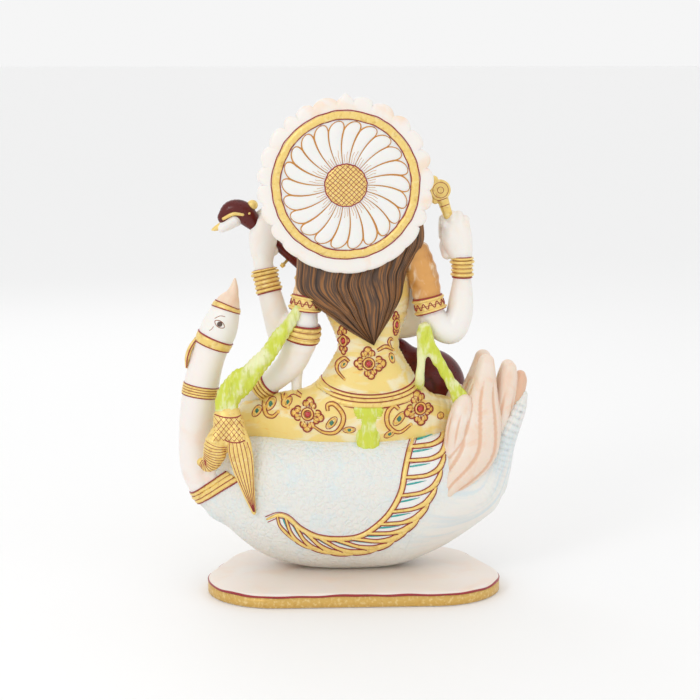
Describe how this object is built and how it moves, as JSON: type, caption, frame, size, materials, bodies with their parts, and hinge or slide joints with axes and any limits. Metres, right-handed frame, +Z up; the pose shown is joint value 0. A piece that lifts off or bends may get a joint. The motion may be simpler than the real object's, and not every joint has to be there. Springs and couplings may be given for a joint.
{
  "type": "hindu deity statue",
  "caption": "Painted marble statuette: a crowned, many-armed seated goddess plays a long lute on a swan's back, with a round scalloped halo behind her head and a flat oval plinth.",
  "frame": {"origin": "middle of the plinth's flat underside", "axes": "+Z up; the goddess faces -Y; her right hand side is -X and the swan's head is at +X"},
  "size_m": [0.2151, 0.1143, 0.3015],
  "materials": {
    "ivory_marble": "hand-finished marble, satin",
    "halo_ivory": "satin",
    "swan_blue_white": "pale blue painted marble, satin",
    "peach": "peach tinted marble, satin",
    "beak_orange": "painted, satin",
    "eye_dark": "painted, gloss",
    "gold_paint": "gold paint over marble, semi-gloss",
    "sari_yellow": "painted, satin",
    "sleeve_orange": "painted, satin",
    "scarf_green": "painted, satin",
    "wine_red": "painted, semi-gloss",
    "soundboard_cream": "painted, satin",
    "hair_brown": "painted, satin",
    "steel_dowel": "plain",
    "string_silver": "painted ridges, satin"
  },
  "bodies": {
    "root": {"plinth": "ivory_marble", "plinth_dowels": "steel_dowel", "swan_body": "swan_blue_white", "swan_neck": "peach", "swan_head": "ivory_marble", "swan_beak": "beak_orange", "swan_eyes": "eye_dark", "swan_neck_bands": "gold_paint", "swan_collar": "gold_paint", "back_wing": "swan_blue_white", "front_wing": "swan_blue_white", "tail_sweep": "swan_blue_white", "tail_plumes": "peach", "skirt": "sari_yellow", "folded_legs": "sari_yellow", "skirt_pleats": "sari_yellow", "feet": "ivory_marble", "belt": "gold_paint", "torso": "sari_yellow", "figure_dowel": "steel_dowel", "bust_necklace": "gold_paint", "neck": "ivory_marble", "head": "ivory_marble", "earrings": "gold_paint", "crown": "gold_paint", "hair": "hair_brown", "halo_disc": "halo_ivory", "halo_ring": "gold_paint", "halo_lotus": "halo_ivory", "halo_boss": "gold_paint", "halo_dowel": "steel_dowel", "sleeves": "sleeve_orange", "sleeve_cuffs": "gold_paint", "right_raised_arm": "ivory_marble", "right_raised_hand": "ivory_marble", "goad": "gold_paint", "left_raised_forearm": "ivory_marble", "left_raised_hand": "ivory_marble", "left_lowered_arm": "ivory_marble", "left_lowered_hand": "ivory_marble", "right_lowered_arm": "ivory_marble", "right_lowered_hand": "ivory_marble", "armlet": "gold_paint", "bangles": "gold_paint", "arm_strut": "ivory_marble", "veena_neck": "wine_red", "veena_head": "wine_red", "veena_bowl": "wine_red", "veena_soundboard": "soundboard_cream", "veena_strings": "string_silver", "veena_pegs": "gold_paint", "scarf_left": "scarf_green", "scarf_brocade": "gold_paint", "scarf_right": "scarf_green", "scarf_back": "scarf_green"}
  },
  "joints": []
}
